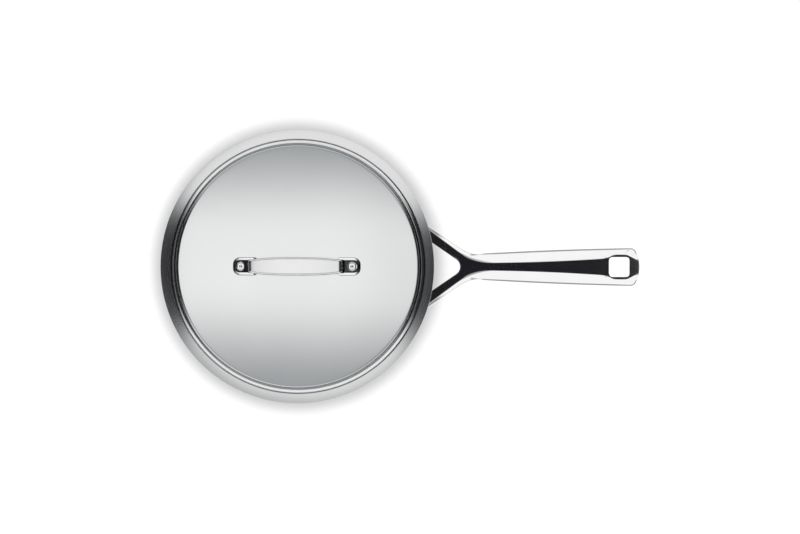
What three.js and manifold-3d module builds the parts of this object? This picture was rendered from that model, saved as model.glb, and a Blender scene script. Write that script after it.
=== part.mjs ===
// Saute pan with a lift-off lid: a drawn three-layer body with a flared pouring lip, a forked cast handle
// riveted to its wall, and a shallow domed lid that seats in the flare and carries a riveted strap handle.
// Millimetres, +Z up. The origin is the centre of the base, and the long handle points along +X.
import * as THREE from "three";
import { mergeVertices } from "three/addons/utils/BufferGeometryUtils.js";
import Module from "manifold-3d";

const wasm = await Module();
wasm.setup();
const deg = THREE.MathUtils.degToRad;

// Pan body: the cooking surface, and the three layers behind it
const panInnerRadius = 120;
const panHeight = 72;
const innerSteel = 0.6;
const coreAluminium = 1.6;
const outerSteel = 0.6;
const bondLine = 0.05;
const baseCornerRadius = 14;
const bendRadius = 5;
const flareAngle = deg(32);
const lipOverhang = 14.7;

// Clearances: between pieces that touch on the real pan, and round a rivet in its bore or seat
const seatGap = 0.3;
const rivetClearance = 0.25;

// Lid sheet: a rolled rim lies on the flare; inward come a tight groove, a step, a rounded brim and the dome
const lidSheet = 1;
const lidEdgeReach = 5.3;
const lidEdgeSheet = 0.6;
const rimCrestReach = 2.6;
const rimCrestRise = 1.56;
const rimRollReach = 1.35;
const rimRollDrop = 0.63;
const rimWallAngle = deg(37);
const rimUnderAngle = deg(8);
const grooveReach = 0.27;
const grooveRadius = 0.15;
const stepAngle = deg(77);
const stepLength = 1.8;
const shoulderRadius = 1.3;
const brimRadius = 9;
const brimSlope = deg(21);
const domeEdgeSlope = deg(7.3);

// Strap handle on the lid: an arch on two legs, each standing on a ramped foot
const archHeight = 25;
const archRadius = 270;
const archHalfSpan = 41.6;
const legCornerRadius = 5;
const legAngle = deg(82);
const strapThickness = 4.5;
const strapMidWidth = 17.4;
const strapLegWidth = 13.4;
const strapTaper = 3;
const strapChamfer = 1.2;
const footToeReach = 15.2;
const footLength = 22.5;
const footWidth = 17.7;
const footToeRadius = 7;
const footHeelRadius = 3;
const footToeThickness = 2.8;
const footRamp = deg(17);
const footBevel = 2.5;
const footBevelDrop = 1.6;

// Rivets of the lid handle, set in from the toe of its feet
const lidRivetInset = 8.3;
const lidRivetShank = 2.6;
const lidRivetHead = 4.2;
const lidRivetHeadHeight = 2;
const lidRivetFullness = 0.6;
const lidRivetDimple = 1.5;
const lidRivetDimpleDepth = 1.6;
const lidRivetTail = 6;
const lidRivetTailHeight = 1.4;
const spotFaceDepth = 0.2;

// Long handle in plan, measured outward from the lip
const handleReach = 191.7;
const forkPoint = 32.6;
const forkAngle = deg(35.4);
const crotchRadius = 8.8;
const armWidth = 11.7;
const armOuterBevel = 4.75;
const armInnerBevel = 0.9;
const armLandTurn = deg(2);
const neckReach = 45.3;
const neckHalfWidth = 13.1;
const neckBlend = 10;
const landBlend = 21;
const gripEndHalfWidth = 18;
const gripWidening = 1.75;
const neckLand = 3.95;
const gripLand = 9;
const endCornerRadius = 3.8;
const endBow = 2.8;
const endBevel = 0.6;
const hangHoleLength = 18;
const hangHoleWidth = 18.6;
const hangHoleCorner = 3;
const hangHoleChamfer = 1.8;
const hangHoleMargin = 9;

// Long handle in side view and in section
const handleTilt = deg(21);
const armThickness = 10;
const gripThickness = 12.5;
const armBevelDrop = 3.6;
const gripBevelDrop = 6.8;
const innerBevelDrop = 0.7;
const endBevelDrop = 0.8;
const bevelCrown = 0.05;
const flankInset = 0.09;
const bellyInset = 0.34;

// Feet of the long handle, which lie on the wall, and their rivets
const padSideMargin = 2;
const padRivetMargin = 1.7;
const padThickness = 3.6;
const padEdge = 0.9;
const padCornerRadius = 9;
const armToRivet = 2.2;
const wallRivetShank = 2.5;
const wallRivetHead = 6;
const wallRivetHeadHeight = 1.8;
const wallRivetTail = 4.4;
const wallRivetTailHeight = 2;

// Facets
const turnSegments = 60;
const rivetSegments = 16;
const arcSteps = 4;
const bendSteps = 3;
const domeSteps = 6;
const armSteps = 3;
const gripSteps = 12;
const endSteps = 8;

// Sizes that follow from those above
const wallThickness = innerSteel + coreAluminium + outerSteel + 2 * bondLine;
const wallOuterRadius = panInnerRadius + wallThickness;
const lipRadius = panInnerRadius + lipOverhang;
const bendTurn = Math.PI / 2 - flareAngle;
const bendEndRadius = panInnerRadius + bendRadius * (1 - Math.cos(bendTurn));
const bendEndHeight = panHeight - (lipRadius - bendEndRadius) * Math.tan(flareAngle);
const bendStartHeight = bendEndHeight - bendRadius * Math.sin(bendTurn);
const cornerTopHeight = wallThickness + baseCornerRadius;

// Numbers from a to b in equal steps, both ends included
function steps(a, b, count) {
  return Array.from({ length: count + 1 }, (_, i) => a + ((b - a) * i) / count);
}

function mix(a, b, t) {
  return a + (b - a) * t;
}

// Value pairs [radius, height] along an arc about a centre, between two angles from the radial direction
function arc([r, z], radius, from, to, count) {
  return steps(from, to, count).map((a) => [r + radius * Math.cos(a), z + radius * Math.sin(a)]);
}

// Closed mesh to solid and back
function solid(geometry) {
  const bare = geometry.index ? geometry.toNonIndexed() : geometry.clone();
  bare.deleteAttribute("normal");
  bare.deleteAttribute("uv");
  const merged = mergeVertices(bare, 1e-4);
  const vertProperties = merged.attributes.position.array;
  const triVerts = new Uint32Array(merged.index.array);
  return new wasm.Manifold(new wasm.Mesh({ numProp: 3, vertProperties, triVerts }));
}

function geometryOf(manifold) {
  const mesh = manifold.getMesh();
  const geometry = new THREE.BufferGeometry();
  geometry.setAttribute("position", new THREE.BufferAttribute(mesh.vertProperties, 3));
  geometry.setIndex(new THREE.BufferAttribute(mesh.triVerts, 1));
  return geometry;
}

// Body with each of several solids cut out of it
function cutBy(body, cutters) {
  return cutters.reduce((left, cutter) => left.subtract(solid(cutter)), body);
}

// Surface of revolution about +Z from a profile of [radius, height] points
function turned(profile, segments) {
  const points = profile.map(([r, z]) => new THREE.Vector2(r, z));
  return new THREE.LatheGeometry(points, segments).rotateX(Math.PI / 2);
}

function faceGeometry(vertices, faces) {
  const geometry = new THREE.BufferGeometry().setFromPoints(vertices);
  geometry.setIndex(faces.flat());
  return geometry;
}

function middleOf(points) {
  return points.reduce((sum, p) => sum.add(p), new THREE.Vector3()).divideScalar(points.length);
}

// Closed surface through rings of equal point count, each joined to the next, with a fan over each end
function lofted(rings) {
  const count = rings[0].length;
  const vertices = rings.flat();
  const faces = [];
  for (let i = 0; i + 1 < rings.length; i++) {
    for (let j = 0; j < count; j++) {
      const a = i * count + j;
      const b = i * count + ((j + 1) % count);
      faces.push([a, b, b + count], [a, b + count, a + count]);
    }
  }
  const first = vertices.push(middleOf(rings[0])) - 1;
  const last = vertices.push(middleOf(rings.at(-1))) - 1;
  const offset = (rings.length - 1) * count;
  for (let j = 0; j < count; j++) {
    const next = (j + 1) % count;
    faces.push([first, next, j], [last, offset + j, offset + next]);
  }
  return faceGeometry(vertices, faces);
}

// Cylinder about an axis from one point to another
function pin(from, to, radius) {
  const along = to.clone().sub(from);
  const direction = along.clone().normalize();
  const turn = new THREE.Quaternion().setFromUnitVectors(THREE.Object3D.DEFAULT_UP, direction);
  const geometry = new THREE.CylinderGeometry(radius, radius, along.length(), rivetSegments);
  return geometry.applyQuaternion(turn).translate(...from.clone().addScaledVector(along, 0.5));
}

// Outline of a rectangle with rounded corners, as [x, y] points; the corner radii go round from (+x, -y)
function roundedOutline(width, height, radii) {
  const corners = [
    [1, -1, -90],
    [1, 1, 0],
    [-1, 1, 90],
    [-1, -1, 180],
  ];
  return corners.flatMap(([x, y, start], i) => {
    const centre = [x * (width / 2 - radii[i]), y * (height / 2 - radii[i])];
    return arc(centre, radii[i], deg(start), deg(start + 90), arcSteps);
  });
}

// Section line of the pan at a depth behind the cooking surface, from the axis to the lip's upright edge
function panLine(depth) {
  const corner = [panInnerRadius - baseCornerRadius, cornerTopHeight];
  const bend = [panInnerRadius + bendRadius, bendStartHeight];
  return [
    [0, wallThickness - depth],
    ...arc(corner, baseCornerRadius + depth, -Math.PI / 2, 0, arcSteps),
    ...arc(bend, bendRadius - depth, Math.PI, Math.PI - bendTurn, bendSteps),
    [lipRadius, panHeight - depth / Math.cos(flareAngle)],
  ];
}

// One layer of the pan between two depths, with the bores of the wall rivets through it
function panLayer(nearDepth, farDepth) {
  const profile = [...panLine(farDepth), ...panLine(nearDepth).reverse()];
  return geometryOf(cutBy(solid(turned(profile, turnSegments)), wallRivetBores()));
}

// Height of the flare's upper face at a radius
function flareHeight(radius) {
  return bendEndHeight + (radius - bendEndRadius) * Math.tan(flareAngle);
}

// Lid section: its rim, and the centres of its groove, shoulder, brim and dome, found from the flare under it
const lidEdgeRadius = panInnerRadius + lidEdgeReach;
const lidEdgeLow = flareHeight(lidEdgeRadius) + seatGap / Math.cos(flareAngle);
const lidEdgeTop = lidEdgeLow + lidEdgeSheet / Math.cos(flareAngle);
const rimCrest = new THREE.Vector2(panInnerRadius + rimCrestReach, lidEdgeTop + rimCrestRise);
const grooveCentreRadius = panInnerRadius + grooveReach;
const rimWallRun = rimCrest.x - grooveCentreRadius - grooveRadius * Math.sin(rimWallAngle);
const grooveCentre = [
  grooveCentreRadius,
  rimCrest.y - rimWallRun * Math.tan(rimWallAngle) + grooveRadius * Math.cos(rimWallAngle),
];
const shoulderCentre = [
  grooveCentre[0] - (grooveRadius + shoulderRadius) * Math.sin(stepAngle) - stepLength * Math.cos(stepAngle),
  grooveCentre[1] - (grooveRadius + shoulderRadius) * Math.cos(stepAngle) + stepLength * Math.sin(stepAngle),
];
const brimCentre = [
  shoulderCentre[0] - (brimRadius - shoulderRadius) * Math.sin(brimSlope),
  shoulderCentre[1] - (brimRadius - shoulderRadius) * Math.cos(brimSlope),
];
const domeRadius = brimCentre[0] / Math.sin(domeEdgeSlope) + brimRadius;
const domeCentre = [0, brimCentre[1] - (domeRadius - brimRadius) * Math.cos(domeEdgeSlope)];
const domeTop = domeCentre[1] + domeRadius;

function domeHeight(radius) {
  return domeCentre[1] + Math.sqrt(domeRadius ** 2 - radius ** 2);
}

// Section line of the lid sheet at a depth below its top face, from the axis to the start of the rim
function lidLine(depth, rimAngle) {
  const upright = Math.PI / 2;
  const [domeEnd, brimEnd] = [upright - domeEdgeSlope, upright - brimSlope];
  return [
    ...arc(domeCentre, domeRadius - depth, upright, domeEnd, domeSteps).slice(0, -1),
    ...arc(brimCentre, brimRadius - depth, domeEnd, brimEnd, bendSteps).slice(0, -1),
    ...arc(shoulderCentre, shoulderRadius - depth, brimEnd, upright - stepAngle, bendSteps),
    ...arc(grooveCentre, grooveRadius + depth, -upright - stepAngle, rimAngle - upright, arcSteps),
  ];
}

function lidShell() {
  const edgeTop = new THREE.Vector2(lidEdgeRadius, lidEdgeTop);
  const roll = rimCrest.clone().add(new THREE.Vector2(rimRollReach, -rimRollDrop));
  const rim = new THREE.QuadraticBezierCurve(rimCrest, roll, edgeTop).getPoints(bendSteps);
  const profile = [
    ...lidLine(lidSheet, rimUnderAngle),
    [lidEdgeRadius, lidEdgeLow],
    ...rim.map(({ x, y }) => [x, y]).reverse(),
    ...lidLine(0, rimWallAngle).reverse(),
  ];
  return geometryOf(cutBy(solid(turned(profile, turnSegments)), lidRivetBores()));
}

// Top line of the strap on the +X side: the arch, the corner, and the leg down to its foot's ramp
const archTop = domeTop + archHeight;
const archEndAngle = Math.asin(archHalfSpan / archRadius);
const archEndHeight = archTop - archRadius * (1 - Math.cos(archEndAngle));
const legTop = {
  x: archHalfSpan + legCornerRadius * (Math.sin(legAngle) - Math.sin(archEndAngle)),
  z: archEndHeight - legCornerRadius * (Math.cos(archEndAngle) - Math.cos(legAngle)),
};
const rampAtLeg = footToeThickness + footToeReach * Math.tan(footRamp);
const legDrop = legTop.z - domeHeight(legTop.x) - seatGap - rampAtLeg;
const footEnd = legTop.x + legDrop / Math.tan(legAngle) + footToeReach;
const lidRivetAt = footEnd - lidRivetInset;

// Height of a foot's ramp above its sole, falling outward to the toe
function rampRise(x) {
  return footToeThickness + (footEnd - x) * Math.tan(footRamp);
}

// Foot of the strap on the +X side: its outline at the sole, at the bevel and on the ramp
function strapFoot() {
  const radii = [footToeRadius, footToeRadius, footHeelRadius, footHeelRadius];
  const outline = roundedOutline(footLength, footWidth, radii);
  const inset = radii.map((radius) => radius - footBevel);
  const ramp = roundedOutline(footLength - 2 * footBevel, footWidth - 2 * footBevel, inset);
  const ring = (points, rise) =>
    points.map(([x, y]) => {
      const at = footEnd - footLength / 2 + x;
      return new THREE.Vector3(at, y, domeHeight(Math.hypot(at, y)) + seatGap + rise(at));
    });
  return lofted([
    ring(outline, () => 0),
    ring(outline, (x) => rampRise(x) - footBevelDrop),
    ring(ramp, rampRise),
  ]);
}

// Arch and legs: sections across the top line, which runs from inside one foot over to the other
function strapArch() {
  const line = steps(0, archEndAngle, arcSteps).map((slope) => ({
    x: archRadius * Math.sin(slope),
    z: archTop - archRadius * (1 - Math.cos(slope)),
    slope,
  }));
  for (const slope of steps(archEndAngle, legAngle, arcSteps).slice(1)) {
    line.push({
      x: archHalfSpan + legCornerRadius * (Math.sin(slope) - Math.sin(archEndAngle)),
      z: archEndHeight - legCornerRadius * (Math.cos(archEndAngle) - Math.cos(slope)),
      slope,
    });
  }
  const sunk = legDrop + rampAtLeg / 2;
  line.push({ x: legTop.x + sunk / Math.tan(legAngle), z: legTop.z - sunk, slope: legAngle });
  const mirrored = line.slice(1).map(({ x, z, slope }) => ({ x: -x, z, slope: -slope }));
  return lofted([...mirrored.reverse(), ...line].map(strapSection));
}

// Section of the strap hung below its top line: widest at mid-arch, narrowing to the legs
function strapSection({ x, z, slope }) {
  const share = Math.min(Math.abs(x) / archHalfSpan, 1);
  const half = mix(strapMidWidth, strapLegWidth, share ** strapTaper) / 2;
  const right = [
    [half - strapChamfer, strapThickness],
    [half, strapThickness - strapChamfer],
    [half, strapChamfer],
    [half - strapChamfer, 0],
  ];
  const left = right.map(([y, down]) => [-y, down]).reverse();
  const place = ([y, down]) => new THREE.Vector3(x - down * Math.sin(slope), y, z - down * Math.cos(slope));
  return [...right, ...left].map(place);
}

// Flat seat cut into the ramp for a rivet's head, just below the ramp at the head's outer side
const headSeatRadius = lidRivetHead + rivetClearance;
const headSeatHeight =
  domeHeight(lidRivetAt) + seatGap + rampRise(lidRivetAt + headSeatRadius) - spotFaceDepth;

function lidHandle() {
  const foot = strapFoot();
  const otherFoot = foot.clone().rotateZ(Math.PI);
  const body = solid(strapArch()).add(solid(foot)).add(solid(otherFoot));
  const spotFaces = [-1, 1].map((side) => {
    const seat = new THREE.Vector3(side * lidRivetAt, 0, headSeatHeight);
    return pin(seat, seat.clone().setZ(archTop), headSeatRadius);
  });
  return geometryOf(cutBy(body, [...lidRivetBores(), ...spotFaces]));
}

function lidRivetBores() {
  return [-1, 1].map((side) => {
    const low = new THREE.Vector3(side * lidRivetAt, 0, 0);
    return pin(low, low.clone().setZ(archTop), lidRivetShank + rivetClearance);
  });
}

// Rivet of the lid: a flat tail under the sheet, a shank, and a full round head with a punched dimple
function lidRivet() {
  const tailTop = domeHeight(lidRivetAt + lidRivetTail) - lidSheet / Math.cos(domeEdgeSlope) - seatGap;
  const tailEdge = lidRivetTailHeight / 2;
  const headBase = headSeatHeight + seatGap;
  const dome = steps(0, Math.PI / 2, arcSteps).map((a) => [
    mix(lidRivetDimple, lidRivetHead, Math.cos(a) ** lidRivetFullness),
    headBase + lidRivetHeadHeight * Math.sin(a) ** lidRivetFullness,
  ]);
  const profile = [
    [0, tailTop - lidRivetTailHeight],
    [lidRivetTail - tailEdge, tailTop - lidRivetTailHeight],
    [lidRivetTail, tailTop - tailEdge],
    [lidRivetTail, tailTop],
    [lidRivetShank, tailTop],
    [lidRivetShank, headBase],
    ...dome,
    [0, headBase + lidRivetHeadHeight - lidRivetDimpleDepth],
  ];
  return turned(profile, rivetSegments);
}

// Long handle in plan. The arm on the +Y side runs along a line that is turned from the X axis by the fork's
// angle; offsets across it are measured from its inner edge, which would meet the X axis at the fork point.
const armAlong = new THREE.Vector2(-Math.cos(forkAngle), Math.sin(forkAngle));
const armAcross = new THREE.Vector2(Math.sin(forkAngle), Math.cos(forkAngle));
const forkVertex = new THREE.Vector2(lipRadius + forkPoint, 0);
const padFaceRadius = wallOuterRadius + seatGap;
const armRootRadius = padFaceRadius + padThickness / 2;

function armPoint(offset, distance) {
  return forkVertex.clone().addScaledVector(armAcross, offset).addScaledVector(armAlong, distance);
}

// Point where the arm's line at an offset first meets a circle about the pan's axis
function armAtRadius(offset, radius) {
  const start = armPoint(offset, 0);
  const along = start.dot(armAlong);
  return armPoint(offset, -along - Math.sqrt(along ** 2 - start.lengthSq() + radius ** 2));
}

// Foot of an arm: centred where the arm lands, midway up the straight wall
const armLanding = armAtRadius(armWidth / 2, armRootRadius);
const padAzimuth = armLanding.angle();
const padMiddle = (cornerTopHeight + bendStartHeight) / 2;
const rivetRise = armThickness / 2 + armToRivet + wallRivetTail;

// Plane of the handle's top land, which rises outward from the middle of the foot
function landHeight(x) {
  return padMiddle + armThickness / 2 + (x - armLanding.x) * Math.tan(handleTilt);
}

// Places along the handle
const handleEnd = lipRadius + handleReach;
const neckX = lipRadius + neckReach;
const holeMiddle = handleEnd - hangHoleMargin - hangHoleLength / 2;
const endFanX = handleEnd - gripEndHalfWidth;
const crotchReach = crotchRadius / Math.tan(forkAngle);
const crotchCentreX = forkVertex.x - crotchRadius / Math.sin(forkAngle);
const crotchX = crotchCentreX + crotchRadius;
const crotchLandX = (crotchX + neckX) / 2;

// Half width of the grip, and of the flat land along its top
function gripHalfWidth(x) {
  const share = THREE.MathUtils.clamp((x - neckX) / (handleEnd - neckX), 0, 1);
  return mix(neckHalfWidth, gripEndHalfWidth, 1 - (1 - share) ** gripWidening);
}

function landHalfWidth(x) {
  const share = THREE.MathUtils.clamp((x - neckX) / (endFanX - neckX), 0, 1);
  return mix(neckLand, gripLand, share ** 2);
}

// Y of an edge over its x: a straight line on the arm, at a turn from the X axis and set off from the fork
// point, that is rounded over the neck into a half width
function neckEdge(offset, turn, halfWidth, blend) {
  const vertexX = forkVertex.x + offset / Math.sin(turn);
  const corner = new THREE.Vector2(vertexX - halfWidth(neckX) / Math.tan(turn), halfWidth(neckX));
  const start = new THREE.Vector2(corner.x - blend * Math.cos(turn), corner.y + blend * Math.sin(turn));
  const end = new THREE.Vector2(corner.x + blend, halfWidth(corner.x + blend));
  const curve = new THREE.QuadraticBezierCurve(start, corner, end);
  return (x) => {
    if (x <= start.x) return (vertexX - x) * Math.tan(turn);
    if (x >= end.x) return halfWidth(x);
    const bend = start.x - 2 * corner.x + end.x;
    const half = corner.x - start.x;
    return curve.getPoint((Math.sqrt(half ** 2 + bend * (x - start.x)) - half) / bend).y;
  };
}

const landOffset = armWidth - armOuterBevel;
const outerEdge = neckEdge(armWidth, forkAngle, gripHalfWidth, neckBlend);
const landEdge = neckEdge(landOffset, forkAngle + armLandTurn, landHalfWidth, landBlend);

function onEdge(edge, x) {
  return new THREE.Vector2(x, edge(x));
}

// Half of the handle (y above 0) is a run of rungs, each with four plan points: the inner edge, the inner and
// outer edges of the land, and the outer edge. First the straight arm, cut to the wall's curve at its root.
function armStage() {
  const offsets = [0, armInnerBevel, landOffset, armWidth];
  return steps(0, 1, armSteps).map((t) => {
    const along = (offset) => armAtRadius(offset, armRootRadius).lerp(armPoint(offset, crotchReach), t);
    const [inner, landInner, land, outer] = offsets.map(along);
    return [inner, landInner, onEdge(landEdge, land.x), onEdge(outerEdge, outer.x)];
  });
}

// Then the rungs that fan round the crotch of the fork
function crotchStage() {
  const outerStart = armPoint(armWidth, crotchReach).x;
  const landStart = armPoint(landOffset, crotchReach).x;
  return steps(0, 1, arcSteps).map((t) => {
    const turn = mix(Math.PI / 2 - forkAngle, 0, t);
    const round = (r) => new THREE.Vector2(crotchCentreX + r * Math.cos(turn), r * Math.sin(turn));
    const land = onEdge(landEdge, mix(landStart, crotchLandX, t));
    const outer = onEdge(outerEdge, mix(outerStart, neckX - neckBlend / 2, t));
    return [round(crotchRadius), round(crotchRadius + armInnerBevel), land, outer];
  });
}

// Then the grip, whose rungs start on its middle line
function gripStage() {
  return steps(0, 1, gripSteps).map((t) => {
    const inner = new THREE.Vector2(mix(crotchX + armInnerBevel, endFanX, t), 0);
    const land = onEdge(landEdge, mix(crotchLandX, endFanX, t));
    const outer = onEdge(outerEdge, mix(neckX - neckBlend / 2, endFanX, t));
    return [inner, inner, land, outer];
  });
}

// Last the rungs that fan round the end, from one point on the middle line to the corner and the bowed end
function endStage() {
  const inner = new THREE.Vector2(endFanX, 0);
  const cornerX = handleEnd - endBow;
  const side = gripHalfWidth(cornerX);
  const edge = new THREE.Path();
  edge.moveTo(endFanX, gripHalfWidth(endFanX));
  edge.lineTo(cornerX - endCornerRadius, side);
  edge.quadraticCurveTo(cornerX, side, cornerX + endBow / 4, side - endCornerRadius);
  edge.quadraticCurveTo(handleEnd, side / 3, handleEnd, 0);
  const land = new THREE.QuadraticBezierCurve(
    new THREE.Vector2(endFanX, landHalfWidth(endFanX)),
    new THREE.Vector2(handleEnd - endBevel, landHalfWidth(endFanX)),
    new THREE.Vector2(handleEnd - endBevel, 0),
  );
  return edge.getSpacedPoints(endSteps).map((outer, i) => [inner, inner, land.getPoint(i / endSteps), outer]);
}

// Section over a rung: from the inner edge over the land and the bevel, and back under the belly
function handleSection([inner, landInner, land, outer], bevelDrop, thickness, innerDrop) {
  const at = (p, fall) => new THREE.Vector3(p.x, p.y, landHeight(p.x) - fall);
  const between = (p, q, t) => p.clone().lerp(q, t);
  return [
    at(inner, innerDrop),
    at(landInner, 0),
    at(land, 0),
    at(between(land, outer, 0.5), bevelDrop * (0.5 - bevelCrown)),
    at(outer, bevelDrop),
    at(between(outer, landInner, flankInset), mix(bevelDrop, thickness, 0.5)),
    at(between(outer, landInner, bellyInset), thickness),
    at(landInner, thickness),
    at(inner, thickness - innerDrop),
  ];
}

// Strips of faces between neighbouring sections; a walled stage also closes their inner side
function addStage(sections, walled, vertices, faces) {
  const count = sections[0].length;
  const start = vertices.length;
  vertices.push(...sections.flat());
  for (let i = 0; i + 1 < sections.length; i++) {
    for (let j = 0; j < (walled ? count : count - 1); j++) {
      const a = start + i * count + j;
      const b = start + i * count + ((j + 1) % count);
      faces.push([a, b + count, b], [a, a + count, b + count]);
    }
  }
}

// Fork and grip: one half built stage by stage, deepening from the arm to the grip, and its mirror image
function handleBar() {
  const vertices = [];
  const faces = [];
  const arms = armStage().map((rung) => handleSection(rung, armBevelDrop, armThickness, innerBevelDrop));
  const deepened = (rung, share, innerDrop) =>
    handleSection(
      rung,
      mix(armBevelDrop, gripBevelDrop, share),
      mix(armThickness, gripThickness, share),
      innerDrop,
    );
  const crotch = crotchStage().map((rung, i) => deepened(rung, i / arcSteps / 2, innerBevelDrop));
  const grip = gripStage().map((rung, i) => deepened(rung, Math.min((1 + (4 * i) / gripSteps) / 2, 1), 0));
  const end = endStage().map((rung, i) =>
    handleSection(rung, mix(gripBevelDrop, endBevelDrop, (i / endSteps) ** 2), gripThickness, 0),
  );
  addStage(arms, true, vertices, faces);
  addStage(crotch, true, vertices, faces);
  addStage(grip, false, vertices, faces);
  addStage(end, false, vertices, faces);
  const root = vertices.push(middleOf(arms[0])) - 1;
  arms[0].forEach((_, j) => faces.push([root, j, (j + 1) % arms[0].length]));
  const half = vertices.length;
  vertices.push(...vertices.map((p) => new THREE.Vector3(p.x, -p.y, p.z)));
  faces.push(...faces.map(([a, b, c]) => [a + half, c + half, b + half]));
  return faceGeometry(vertices, faces);
}

// Hanging hole, cut straight down through the grip, with a chamfer where it breaks the land
function hangingHole() {
  const ring = (grow, rise) => {
    const [length, width] = [hangHoleLength + 2 * grow, hangHoleWidth + 2 * grow];
    return roundedOutline(length, width, Array(4).fill(hangHoleCorner + grow)).map(([x, y]) => {
      const at = holeMiddle + x;
      return new THREE.Vector3(at, y, landHeight(at) + rise);
    });
  };
  return lofted([
    ring(0, -2 * gripThickness),
    ring(0, -hangHoleChamfer),
    ring(hangHoleChamfer, 0),
    ring(hangHoleChamfer, gripThickness),
  ]);
}

// Foot plate on the wall, as wide as the arm's landing and tall enough for a rivet above and below the arm
function wallPad(side) {
  const spread = armAtRadius(armWidth, armRootRadius).angle() - armAtRadius(0, armRootRadius).angle();
  const width = spread * padFaceRadius + 2 * padSideMargin;
  const height = 2 * (rivetRise + wallRivetTail + padRivetMargin);
  const outline = (inset) =>
    roundedOutline(width - 2 * inset, height - 2 * inset, Array(4).fill(padCornerRadius - inset));
  const core = outline(padEdge).map(([x, y]) => [x / 2, y / 2]);
  const ring = (points, radius) =>
    points.map(([x, y]) => {
      const azimuth = side * padAzimuth + x / padFaceRadius;
      return new THREE.Vector3(radius * Math.cos(azimuth), radius * Math.sin(azimuth), padMiddle + y);
    });
  const back = padFaceRadius + padThickness;
  return lofted([
    ring(core, padFaceRadius),
    ring(outline(0), padFaceRadius),
    ring(outline(0), back - padEdge),
    ring(outline(padEdge), back),
    ring(core, back),
  ]);
}

function longHandle() {
  const body = solid(handleBar()).add(solid(wallPad(1))).add(solid(wallPad(-1)));
  return geometryOf(cutBy(body, [hangingHole(), ...wallRivetBores()]));
}

// Wall rivets: one above and one below each arm, named for their side as seen from the handle's end
const wallRivetPlaces = ["left", "right"].flatMap((side) =>
  ["upper", "lower"].map((level) => ({
    name: `handle_rivet_${side}_${level}`,
    azimuth: side === "left" ? -padAzimuth : padAzimuth,
    height: padMiddle + (level === "upper" ? rivetRise : -rivetRise),
  })),
);

function wallRivetBores() {
  return wallRivetPlaces.map(({ azimuth, height }) => {
    const at = (r) => new THREE.Vector3(r * Math.cos(azimuth), r * Math.sin(azimuth), height);
    const inside = at(panInnerRadius - wallRivetHead);
    return pin(inside, at(padFaceRadius + 2 * padThickness), wallRivetShank + rivetClearance);
  });
}

// Wall rivet, drawn along +Z as the outward direction: a low domed head inside, a shank and a set tail
function wallRivet() {
  const headBack = Math.sqrt(panInnerRadius ** 2 - wallRivetHead ** 2) - seatGap;
  const tailFront = padFaceRadius + padThickness + seatGap;
  const head = steps(0, Math.PI / 2, arcSteps).map((a) => [
    wallRivetHead * Math.sin(a),
    headBack - wallRivetHeadHeight * Math.cos(a),
  ]);
  const tail = steps(0, Math.PI / 2, arcSteps).map((a) => [
    wallRivetTail * Math.cos(a),
    tailFront + wallRivetTailHeight * Math.sin(a),
  ]);
  return turned([...head, [wallRivetShank, headBack], [wallRivetShank, tailFront], ...tail], rivetSegments);
}

// Finishes
const satinSteel = new THREE.MeshStandardMaterial({ color: 0xc9cbcc, roughness: 0.28, metalness: 1 });
const polishedSteel = new THREE.MeshStandardMaterial({ color: 0xd4d5d6, roughness: 0.08, metalness: 1 });
const bareAluminium = new THREE.MeshStandardMaterial({ color: 0xb8babd, roughness: 0.4, metalness: 1 });

function piece(name, geometry, material) {
  const mesh = new THREE.Mesh(geometry, material);
  mesh.name = name;
  return mesh;
}

// Pan: its layers from the cooking surface outward, the handle and the handle's rivets
const pan = new THREE.Group();
const coreNear = innerSteel + bondLine;
const coreFar = coreNear + coreAluminium;
pan.add(piece("pan_inner_layer", panLayer(0, innerSteel), satinSteel));
pan.add(piece("pan_core_layer", panLayer(coreNear, coreFar), bareAluminium));
pan.add(piece("pan_outer_layer", panLayer(coreFar + bondLine, wallThickness), satinSteel));
pan.add(piece("long_handle", longHandle(), polishedSteel));
for (const { name, azimuth, height } of wallRivetPlaces) {
  const rivet = piece(name, wallRivet(), satinSteel);
  rivet.position.z = height;
  rivet.rotation.set(0, Math.PI / 2, azimuth, "ZYX");
  pan.add(rivet);
}

// Lid, seated in the flare, with its strap and rivets
const lid = new THREE.Group();
lid.add(piece("lid_shell", lidShell(), polishedSteel));
lid.add(piece("lid_handle", lidHandle(), polishedSteel));
for (const side of ["left", "right"]) {
  const rivet = piece(`lid_rivet_${side}`, lidRivet(), polishedSteel);
  rivet.position.x = side === "left" ? -lidRivetAt : lidRivetAt;
  lid.add(rivet);
}

const sautePan = new THREE.Group();
sautePan.add(pan, lid);
export default sautePan;
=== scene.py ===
import math

import bmesh
import bpy
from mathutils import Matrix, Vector


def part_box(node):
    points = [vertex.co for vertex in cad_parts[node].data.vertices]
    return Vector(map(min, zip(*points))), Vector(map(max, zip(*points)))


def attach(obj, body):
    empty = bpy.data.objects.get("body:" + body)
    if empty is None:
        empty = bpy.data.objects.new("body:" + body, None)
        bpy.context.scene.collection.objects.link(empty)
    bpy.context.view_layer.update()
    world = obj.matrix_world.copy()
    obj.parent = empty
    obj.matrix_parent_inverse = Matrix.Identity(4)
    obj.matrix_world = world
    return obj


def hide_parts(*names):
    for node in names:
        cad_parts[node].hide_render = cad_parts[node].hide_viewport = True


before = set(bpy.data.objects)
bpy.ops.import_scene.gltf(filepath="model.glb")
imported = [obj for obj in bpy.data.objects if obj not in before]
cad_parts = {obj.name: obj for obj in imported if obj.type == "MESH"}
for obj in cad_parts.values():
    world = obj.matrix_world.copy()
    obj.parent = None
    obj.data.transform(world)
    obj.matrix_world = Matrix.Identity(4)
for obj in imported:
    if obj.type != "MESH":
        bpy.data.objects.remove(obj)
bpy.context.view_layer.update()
mm = 0.001  # the pieces are given in millimetres and degrees; finishes, floor and meshes are in metres
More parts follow.
